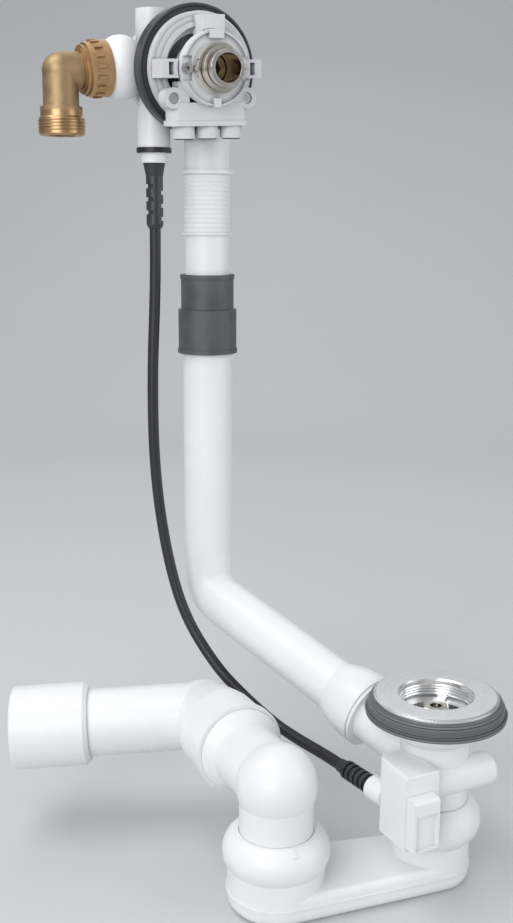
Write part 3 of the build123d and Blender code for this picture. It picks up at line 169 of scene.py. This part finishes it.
class WasteFinishes(bpy.types.PropertyGroup):
    """Colours of the finishes."""

    white: colour_property("White plastic", "Moulded pipes, trap and bodies", (0.83, 0.84, 0.85))
    grey: colour_property("Grey plastic", "Front ring, hub and nozzle block", (0.67, 0.68, 0.70))
    rubber: colour_property("Black rubber", "Overflow gasket, boots and seals", (0.034, 0.035, 0.038))
    gasket: colour_property("Grey rubber", "Gasket under the waste flange", (0.235, 0.242, 0.248))
    coupling: colour_property("Dark rubber", "Coupling between the pipes", (0.092, 0.097, 0.102))
    black: colour_property("Black plastic", "Cable sheath, rack and inserts", (0.018, 0.018, 0.020))
    brass: colour_property("Brass", "Inlet elbow, as cast", (0.47, 0.335, 0.19))
    cut_brass: colour_property("Cut brass", "Turned end of the inlet elbow", (0.50, 0.32, 0.17))
    nut_brass: colour_property("Forged brass", "Union nut", (0.60, 0.38, 0.19))
    dull_brass: colour_property("Dull brass", "Drive spindle", (0.26, 0.18, 0.11))
    nickel: colour_property("Nickel", "Sleeve for the trim, and bolt of the flange", (0.93, 0.89, 0.82))
    chrome: colour_property("Chrome", "Waste flange and its cross", (0.88, 0.885, 0.89))
    steel: colour_property("Steel", "Screws, shaft and pin", (0.58, 0.58, 0.59))
    floor: colour_property("Floor", "Studio floor and backdrop", (0.60, 0.61, 0.62))


class WasteSizes(bpy.types.PropertyGroup):
    """Sizes of the pieces that the scene adds."""

    cable_diameter: length_property("Cable diameter", "Outside of the cable's sheath", 6.9 * MM)
    thread_pitch: length_property("Thread pitch", "Pitch of the inlet's G 3/4 thread", 1.814 * MM)
    thread_depth: length_property("Thread depth", "Height of the thread's ridge that stands proud", 0.5 * MM)
    mark_width: length_property("Mark width", "Width of the arrow on the trap's socket", 4.0 * MM)
    mark_height: length_property("Mark height", "Height of the arrow above the socket", 0.9 * MM)
    soft_edge: length_property("Soft edge", "Radius that moulded and cast edges are softened to", 0.35 * MM)


def mount(name):
    """Mount of the record by its name."""
    return next(item for item in frame["record"]["mounts"] if item["name"] == name)


def new_material(name):
    """New material, with its Principled shader and a node of Object coordinates."""
    material = bpy.data.materials.new(name)
    material.use_nodes = True
    nodes = material.node_tree.nodes
    shader = nodes["Principled BSDF"]
    coordinates = nodes.new("ShaderNodeTexCoord")
    return material, shader, coordinates


def add_noise(material, coordinates, scale, detail=3.0):
    """Noise texture on Object coordinates, with its scale in features per metre."""
    noise = material.node_tree.nodes.new("ShaderNodeTexNoise")
    noise.inputs["Scale"].default_value = scale
    noise.inputs["Detail"].default_value = detail
    material.node_tree.links.new(coordinates.outputs["Object"], noise.inputs["Vector"])
    return noise


def vary_colour(material, shader, noise, colour, darker, spread=NOISE_SPREAD):
    """Base colour that wanders between the colour and a darker tone: a small spread gives crisp patches."""
    ramp = material.node_tree.nodes.new("ShaderNodeValToRGB")
    ramp.color_ramp.elements[0].position = NOISE_MIDDLE - spread
    ramp.color_ramp.elements[0].color = (*[part * darker for part in colour], 1.0)
    ramp.color_ramp.elements[1].position = NOISE_MIDDLE + spread
    ramp.color_ramp.elements[1].color = (*colour, 1.0)
    material.node_tree.links.new(noise.outputs["Fac"], ramp.inputs["Fac"])
    material.node_tree.links.new(ramp.outputs["Color"], shader.inputs["Base Color"])


def vary_roughness(material, shader, noise, low, high):
    """Roughness that wanders between two values."""
    remap = material.node_tree.nodes.new("ShaderNodeMapRange")
    remap.inputs["From Min"].default_value = NOISE_MIDDLE - NOISE_SPREAD
    remap.inputs["From Max"].default_value = NOISE_MIDDLE + NOISE_SPREAD
    remap.inputs["To Min"].default_value = low
    remap.inputs["To Max"].default_value = high
    material.node_tree.links.new(noise.outputs["Fac"], remap.inputs["Value"])
    material.node_tree.links.new(remap.outputs["Result"], shader.inputs["Roughness"])


def add_bump(material, shader, height, distance):
    """Bump of a real height in metres, over edges softened to a small radius."""
    tree = material.node_tree
    edge = tree.nodes.new("ShaderNodeBevel")
    edge.samples = EDGE_SAMPLES
    edge.inputs["Radius"].default_value = bpy.context.scene.waste_sizes.soft_edge
    bump = tree.nodes.new("ShaderNodeBump")
    bump.inputs["Distance"].default_value = distance
    tree.links.new(edge.outputs["Normal"], bump.inputs["Normal"])
    tree.links.new(height, bump.inputs["Height"])
    tree.links.new(bump.outputs["Normal"], shader.inputs["Normal"])


def paint_crease_shade(material, shader, depth, strength):
    """Painted shade: darken the base colour by ambient occlusion in grooves and inner corners that are
    narrower than a depth.
    """
    tree = material.node_tree
    crease_shade = tree.nodes.new("ShaderNodeAmbientOcclusion")
    crease_shade.samples = CREASE_SAMPLES
    crease_shade.only_local = True
    crease_shade.inputs["Distance"].default_value = depth
    mix = tree.nodes.new("ShaderNodeMixRGB")
    mix.blend_type = "MULTIPLY"
    mix.inputs["Fac"].default_value = strength
    tree.links.new(shader.inputs["Base Color"].links[0].from_socket, mix.inputs["Color1"])
    tree.links.new(crease_shade.outputs["Color"], mix.inputs["Color2"])
    tree.links.new(mix.outputs["Color"], shader.inputs["Base Color"])


def moulded_plastic(name, colour, roughness, grain, crease_shade=0.0, depth=CREASE_DEPTH):
    """Moulded plastic: faint cloudiness, uneven gloss, a fine grain, and painted shade that darkens its
    creases.
    """
    material, shader, coordinates = new_material(name)
    cloud = add_noise(material, coordinates, scale=35.0)
    gloss = add_noise(material, coordinates, scale=160.0)
    fine = add_noise(material, coordinates, scale=1800.0, detail=2.0)
    vary_colour(material, shader, cloud, colour, darker=0.955)
    vary_roughness(material, shader, gloss, low=roughness - 0.06, high=roughness + 0.08)
    add_bump(material, shader, fine.outputs["Fac"], grain)
    # Painted shade in the creases, when a strength is given
    if crease_shade:
        paint_crease_shade(material, shader, depth, crease_shade)
    shader.inputs["IOR"].default_value = PLASTIC_IOR
    return material


def soft_rubber(name, colour, roughness):
    """Rubber: softly shining, with paler bloom in patches and a fine grain."""
    material, shader, coordinates = new_material(name)
    bloom = add_noise(material, coordinates, scale=90.0, detail=5.0)
    fine = add_noise(material, coordinates, scale=2500.0, detail=2.0)
    vary_colour(material, shader, bloom, colour, darker=0.72)
    vary_roughness(material, shader, bloom, low=roughness - 0.08, high=roughness + 0.08)
    add_bump(material, shader, fine.outputs["Fac"], distance=0.05 * MM)
    shader.inputs["Specular IOR Level"].default_value = RUBBER_SHEEN
    return material


def cast_metal(name, colour, low, high, grain, patch, crease_shade=0.0):
    """Metal with patchy tone, a cast or blasted grain, and painted shade that darkens its creases."""
    material, shader, coordinates = new_material(name)
    patches = add_noise(material, coordinates, scale=patch, detail=4.0)
    fine = add_noise(material, coordinates, scale=2200.0, detail=2.0)
    vary_colour(material, shader, patches, colour, darker=0.78)
    vary_roughness(material, shader, patches, low, high)
    add_bump(material, shader, fine.outputs["Fac"], grain)
    # Painted shade in the creases, when a strength is given
    if crease_shade:
        paint_crease_shade(material, shader, CREASE_DEPTH, crease_shade)
    shader.inputs["Metallic"].default_value = 1.0
    return material


def elbow_brass(name, cast, turned, height):
    """Brass that is cast and rough above a height, and turned and bright below it."""
    material = cast_metal(name, cast, low=0.46, high=0.62, grain=0.06 * MM, patch=110.0)
    tree = material.node_tree
    shader = tree.nodes["Principled BSDF"]
    coordinates = next(node for node in tree.nodes if node.bl_idname == "ShaderNodeTexCoord")
    split = tree.nodes.new("ShaderNodeSeparateXYZ")
    tree.links.new(coordinates.outputs["Object"], split.inputs["Vector"])
    below = tree.nodes.new("ShaderNodeMapRange")
    below.inputs["From Min"].default_value = height + TURNED_BAND
    below.inputs["From Max"].default_value = height - TURNED_BAND
    tree.links.new(split.outputs["Z"], below.inputs["Value"])
    for socket, value, kind, socket_type in (
            ("Base Color", (*turned, 1.0), "RGBA", "RGBA"),
            ("Roughness", TURNED_ROUGHNESS, "FLOAT", "VALUE")):
        mix = tree.nodes.new("ShaderNodeMix")
        mix.data_type = kind
        upper, lower = [item for item in mix.inputs if item.type == socket_type][-2:]
        tree.links.new(below.outputs["Result"], mix.inputs["Factor"])
        tree.links.new(shader.inputs[socket].links[0].from_socket, upper)
        lower.default_value = value
        result = next(item for item in mix.outputs if item.type == socket_type)
        tree.links.new(result, shader.inputs[socket])
    return material


def ringed_rubber(name, colour, roughness):
    """Rubber with fine moulded rings, one above the other, about an upright axis."""
    material, shader, coordinates = new_material(name)
    tree = material.node_tree
    split = tree.nodes.new("ShaderNodeSeparateXYZ")
    tree.links.new(coordinates.outputs["Object"], split.inputs["Vector"])
    rings = tree.nodes.new("ShaderNodeTexNoise")
    rings.noise_dimensions = "1D"
    rings.inputs["Scale"].default_value = 900.0
    rings.inputs["Detail"].default_value = 2.5
    tree.links.new(split.outputs["Z"], rings.inputs["W"])
    bloom = add_noise(material, coordinates, scale=220.0, detail=5.0)
    vary_colour(material, shader, rings, colour, darker=0.12, spread=0.09)
    vary_roughness(material, shader, bloom, low=roughness - 0.08, high=roughness + 0.08)
    add_bump(material, shader, rings.outputs["Fac"], distance=0.25 * MM)
    return material


def lathe_metal(name, colour, roughness, grain):
    """Turned and plated metal about the waste's axis, with fine rings left by the tool."""
    material, shader, coordinates = new_material(name)
    tree = material.node_tree
    flatten = tree.nodes.new("ShaderNodeVectorMath")
    flatten.operation = "MULTIPLY"
    flatten.inputs[1].default_value = (1.0, 1.0, 0.0)
    radius = tree.nodes.new("ShaderNodeVectorMath")
    radius.operation = "LENGTH"
    rings = tree.nodes.new("ShaderNodeTexNoise")
    rings.noise_dimensions = "1D"
    rings.inputs["Scale"].default_value = 2600.0
    rings.inputs["Detail"].default_value = 3.0
    tree.links.new(coordinates.outputs["Object"], flatten.inputs[0])
    tree.links.new(flatten.outputs["Vector"], radius.inputs[0])
    tree.links.new(radius.outputs["Value"], rings.inputs["W"])
    cloud = add_noise(material, coordinates, scale=60.0)
    vary_colour(material, shader, cloud, colour, darker=0.93)
    vary_roughness(material, shader, rings, low=roughness - 0.04, high=roughness + 0.06)
    add_bump(material, shader, rings.outputs["Fac"], grain)
    shader.inputs["Metallic"].default_value = 1.0
    return material


def turned_height():
    """Height of the shoulder above the inlet's thread, where its casting ends."""
    thread = mount("inlet_thread")
    return thread["pos_m"][2] + thread["dims"]["length_mm"] * MM


def finishes():
    """Material of each of the record's slots, and of the nodes with their own finish, made once."""
    colours = bpy.context.scene.waste_finishes
    # A finish given a crease strength has painted shade that darkens its colour in grooves and inner corners
    makers = {
        "white_plastic": lambda name: moulded_plastic(name, colours.white, roughness=0.36, grain=0.012 * MM),
        "grey_plastic": lambda name: moulded_plastic(name, colours.grey, roughness=0.46, grain=0.02 * MM,
                                                     crease_shade=0.75),
        "pale_plastic": lambda name: moulded_plastic(name, colours.white, roughness=0.46, grain=0.02 * MM,
                                                     crease_shade=0.5),
        # Painted shade: the overflow body's chamber is darkened in its colour by occlusion over the chamber
        # depth
        "chamber_shaded_plastic": lambda name: moulded_plastic(name, colours.white, roughness=0.36, grain=0.012 * MM,
                                                       crease_shade=0.75, depth=CHAMBER_DEPTH),
        "black_rubber": lambda name: soft_rubber(name, colours.rubber, roughness=0.40),
        "dark_rubber": lambda name: soft_rubber(name, colours.coupling, roughness=0.48),
        "ringed_rubber": lambda name: ringed_rubber(name, colours.gasket, roughness=0.50),
        "black_plastic": lambda name: moulded_plastic(name, colours.black, roughness=0.42, grain=0.015 * MM),
        "brass": lambda name: cast_metal(name, colours.cut_brass, low=0.28, high=0.40, grain=0.01 * MM,
                                         patch=150.0),
        "elbow_brass": lambda name: elbow_brass(name, colours.brass, colours.cut_brass, turned_height()),
        "nut_brass": lambda name: cast_metal(name, colours.nut_brass, low=0.38, high=0.55, grain=0.04 * MM,
                                             patch=140.0, crease_shade=0.6),
        "spindle_brass": lambda name: cast_metal(name, colours.dull_brass, low=0.35, high=0.50,
                                                 grain=0.02 * MM, patch=150.0),
        "nickel": lambda name: cast_metal(name, colours.nickel, low=0.08, high=0.16, grain=0.004 * MM,
                                          patch=150.0, crease_shade=0.6),
        "chrome": lambda name: lathe_metal(name, colours.chrome, roughness=0.26, grain=0.006 * MM),
        "steel": lambda name: cast_metal(name, colours.steel, low=0.24, high=0.36, grain=0.006 * MM,
                                         patch=200.0, crease_shade=0.8),
    }
    return {slot: bpy.data.materials.get(slot + "_finish") or maker(slot + "_finish")
            for slot, maker in makers.items()}


class WASTE_OT_finishes(bpy.types.Operator):
    """Give every CAD piece its own finish, or that of its slot."""

    bl_idname = "waste.finishes"
    bl_label = "Finishes"

    def execute(self, context):
        materials = finishes()
        for subpart in frame["record"]["subparts"]:
            name = subpart["node"]
            finish = OWN_FINISHES.get(name, subpart["material_slot"])
            for slot in frame["nodes"][name].material_slots:
                slot.material = materials[finish]
        return {"FINISHED"}


class WASTE_OT_cable(bpy.types.Operator):
    """Lay the cable from the head's boot to the actuator's boot."""

    bl_idname = "waste.cable"
    bl_label = "Cable"

    def execute(self, context):
        diameter = context.scene.waste_sizes.cable_diameter
        curve = bpy.data.curves.new("cable_sheath", "CURVE")
        curve.dimensions = "3D"
        spline = curve.splines.new("NURBS")
        spline.points.add(len(CABLE_ROUTE) - 1)
        for point, place in zip(spline.points, CABLE_ROUTE):
            point.co = (*place, 1.0)
        spline.order_u = 3
        spline.use_endpoint_u = True
        spline.resolution_u = CABLE_STEPS
        curve.bevel_depth = diameter / 2
        curve.bevel_resolution = CABLE_ROUNDNESS
        curve.use_fill_caps = True
        curve.materials.append(finishes()["black_plastic"])
        cable = bpy.data.objects.new("cable_sheath", curve)
        context.scene.collection.objects.link(cable)
        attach(cable, ROOT_BODY)
        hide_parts("bowden_cable")
        return {"FINISHED"}


def add_piece(name, shape, finish, body):
    """Object made from a bmesh, with its finish and the body that it rides on."""
    bmesh.ops.recalc_face_normals(shape, faces=shape.faces)
    mesh = bpy.data.meshes.new(name)
    shape.to_mesh(mesh)
    shape.free()
    mesh.shade_smooth()
    mesh.set_sharp_from_angle(angle=SHARP_ANGLE)
    mesh.materials.append(finishes()[finish])
    made = bpy.data.objects.new(name, mesh)
    bpy.context.scene.collection.objects.link(made)
    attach(made, body)


class WASTE_OT_thread(bpy.types.Operator):
    """Wind the ridge of the thread round the end of the inlet elbow."""

    bl_idname = "waste.thread"
    bl_label = "Inlet thread"

    def execute(self, context):
        sizes = context.scene.waste_sizes
        thread = mount("inlet_thread")
        radius = thread["dims"]["r_mm"] * MM
        length = thread["dims"]["length_mm"] * MM
        pitch = sizes.thread_pitch
        turns = length / pitch - 1.0
        steps = int(turns * THREAD_STEPS)
        place = Vector(thread["pos_m"]) - Vector((0, 0, turns * pitch / 2))
        depth = sizes.thread_depth
        profile = ((-depth, -pitch * RIDGE_ROOT), (depth, -pitch * RIDGE_CREST),
                   (depth, pitch * RIDGE_CREST), (-depth, pitch * RIDGE_ROOT))
        shape = bmesh.new()
        corners = [shape.verts.new(place + Vector((radius + out, 0, up))) for out, up in profile]
        edges = [shape.edges.new(pair) for pair in zip(corners, corners[1:] + corners[:1])]
        bmesh.ops.spin(shape, geom=corners + edges, cent=place, axis=(0, 0, 1),
                       dvec=(0, 0, turns * pitch / steps), angle=math.tau * turns, steps=steps,
                       use_duplicate=False)
        bmesh.ops.holes_fill(shape, edges=[edge for edge in shape.edges if edge.is_boundary])
        add_piece("inlet_thread_ridge", shape, "brass", ROOT_BODY)
        return {"FINISHED"}


class WASTE_OT_mark(bpy.types.Operator):
    """Raise the small arrow on the trap's socket that shows how far the riser goes in."""

    bl_idname = "waste.mark"
    bl_label = "Socket mark"

    def execute(self, context):
        width = context.scene.waste_sizes.mark_width
        raised = context.scene.waste_sizes.mark_height
        joints = frame["record"]["behaviour"]["joints"]
        joint = next(item for item in joints if item["name"] == "riser_swivel")
        axis = Vector(joint["pos_m"])
        outward = Matrix.Rotation(MARK_ANGLE, 3, "Z") @ Vector((1, 0, 0))
        start = Vector((axis.x, axis.y, axis.z + MARK_RISE)) + outward * MARK_REACH
        hit, place, normal, _ = frame["nodes"]["trap_body"].ray_cast(start, -outward)
        if not hit:
            raise RuntimeError("The socket mark found no surface to stand on")
        sideways = Vector((0, 0, 1)).cross(normal).normalized()
        upward = normal.cross(sideways)
        root = place - normal * raised
        shape = bmesh.new()
        corners = [shape.verts.new(root + sideways * across * width + upward * along * width)
                   for across, along in MARK_OUTLINE]
        face = shape.faces.new(corners)
        made = bmesh.ops.extrude_face_region(shape, geom=[face])
        top = [item for item in made["geom"] if isinstance(item, bmesh.types.BMVert)]
        bmesh.ops.translate(shape, verts=top, vec=normal * raised * 2)
        rim = [edge for edge in shape.edges if all(corner in top for corner in edge.verts)]
        bmesh.ops.bevel(shape, geom=rim, offset=raised / 3, segments=2, profile=0.5, affect="EDGES",
                        material=-1)
        add_piece("socket_mark", shape, "white_plastic", "trap")
        return {"FINISHED"}


def area_light(name, place, target, size, power):
    """Soft square lamp that looks at a point."""
    lamp = bpy.data.lights.new(name, "AREA")
    lamp.shape = "SQUARE"
    lamp.size = size
    lamp.energy = power
    light = bpy.data.objects.new(name, lamp)
    light.location = place
    light.rotation_euler = (Vector(target) - Vector(place)).to_track_quat("-Z", "Y").to_euler()
    bpy.context.scene.collection.objects.link(light)


class WASTE_OT_stage(bpy.types.Operator):
    """Set up the floor, the backdrop, the lamps and the photograph's camera."""

    bl_idname = "waste.stage"
    bl_label = "Studio"

    def execute(self, context):
        scene = context.scene
        scene.view_settings.view_transform = "Standard"
        self.floor(scene)
        self.lamps(scene)
        self.camera(scene)
        return {"FINISHED"}

    def floor(self, scene):
        """Pale sweep: a floor under the trap that curves up behind the object."""
        colour = scene.waste_finishes.floor
        material, shader, coordinates = new_material("studio_floor")
        cloud = add_noise(material, coordinates, scale=3.0)
        vary_colour(material, shader, cloud, colour, darker=0.985)
        shader.inputs["Roughness"].default_value = 0.85
        ground = cad_box[0][2]
        shape = bmesh.new()
        corners = ((0, -FLOOR_REACH, ground), (0, SWEEP_START, ground),
                   (0, SWEEP_BACK, ground + SWEEP_CORNER), (0, SWEEP_BACK, ground + SWEEP_TOP))
        line = [shape.verts.new(corner) for corner in corners]
        for pair in zip(line, line[1:]):
            shape.edges.new(pair)
        bmesh.ops.bevel(shape, geom=line[1:3], offset=SWEEP_BEND, segments=8, profile=0.5,
                        affect="VERTICES", material=-1)
        bmesh.ops.translate(shape, verts=shape.verts, vec=(-FLOOR_REACH, 0, 0))
        swept = bmesh.ops.extrude_edge_only(shape, edges=shape.edges)
        moved = [item for item in swept["geom"] if isinstance(item, bmesh.types.BMVert)]
        bmesh.ops.translate(shape, verts=moved, vec=(2 * FLOOR_REACH, 0, 0))
        turn = Matrix.Rotation(CAMERA_AZIMUTH, 4, "Z")
        bmesh.ops.transform(shape, matrix=turn, verts=shape.verts)
        bmesh.ops.recalc_face_normals(shape, faces=shape.faces)
        mesh = bpy.data.meshes.new("studio_floor")
        shape.to_mesh(mesh)
        shape.free()
        mesh.shade_smooth()
        mesh.materials.append(material)
        floor = bpy.data.objects.new("studio_floor", mesh)
        scene.collection.objects.link(floor)

    def lamps(self, scene):
        """Soft key, fill, top and back lamps, with an even pale world."""
        middle = (cad_box[0] + cad_box[1]) / 2
        for name, place, size, power in LAMPS:
            area_light(name, place, middle, size, power)
        world = bpy.data.worlds.new("studio")
        world.use_nodes = True
        background = world.node_tree.nodes["Background"]
        background.inputs["Color"].default_value = WORLD_COLOUR
        background.inputs["Strength"].default_value = WORLD_STRENGTH
        scene.world = world

    def camera(self, scene):
        """Camera where the photograph was taken from."""
        lens = bpy.data.cameras.new("photo_camera")
        lens.sensor_fit = "VERTICAL"
        lens.sensor_height = 36.0
        lens.lens = lens.sensor_height * FOCAL_PIXELS / PHOTO_SIZE[1]
        camera = bpy.data.objects.new("photo_camera", lens)
        aim = Matrix.Rotation(CAMERA_AZIMUTH, 4, "Z") @ Matrix.Rotation(math.pi / 2 - CAMERA_PITCH, 4, "X")
        camera.matrix_world = Matrix.Translation(CAMERA_PLACE) @ aim @ Matrix.Rotation(CAMERA_ROLL, 4, "Z")
        scene.collection.objects.link(camera)
        scene.camera = camera


class WASTE_PT_panel(bpy.types.Panel):
    """Sidebar panel of the bath waste."""

    bl_idname = "WASTE_PT_panel"
    bl_label = "Bath waste"
    bl_space_type = "VIEW_3D"
    bl_region_type = "UI"
    bl_category = "Bath waste"

    def draw(self, context):
        for operator in OPERATORS:
            self.layout.operator(operator.bl_idname)
        for group in (context.scene.waste_sizes, context.scene.waste_finishes):
            for name in group.__annotations__:
                self.layout.prop(group, name)


OPERATORS = (WASTE_OT_finishes, WASTE_OT_cable, WASTE_OT_thread, WASTE_OT_mark, WASTE_OT_stage)
CLASSES = (WasteFinishes, WasteSizes, *OPERATORS, WASTE_PT_panel)


def register():
    """Register the classes and hang the two groups of settings on the scene."""
    for item in CLASSES:
        bpy.utils.register_class(item)
    bpy.types.Scene.waste_finishes = bpy.props.PointerProperty(type=WasteFinishes)
    bpy.types.Scene.waste_sizes = bpy.props.PointerProperty(type=WasteSizes)


def unregister():
    """Take the settings and the classes away again."""
    del bpy.types.Scene.waste_sizes
    del bpy.types.Scene.waste_finishes
    for item in reversed(CLASSES):
        bpy.utils.unregister_class(item)


def main():
    """Build the look."""
    register()
    bpy.ops.waste.finishes()
    bpy.ops.waste.cable()
    bpy.ops.waste.thread()
    bpy.ops.waste.mark()
    bpy.ops.waste.stage()


if __name__ == "__main__":
    main()
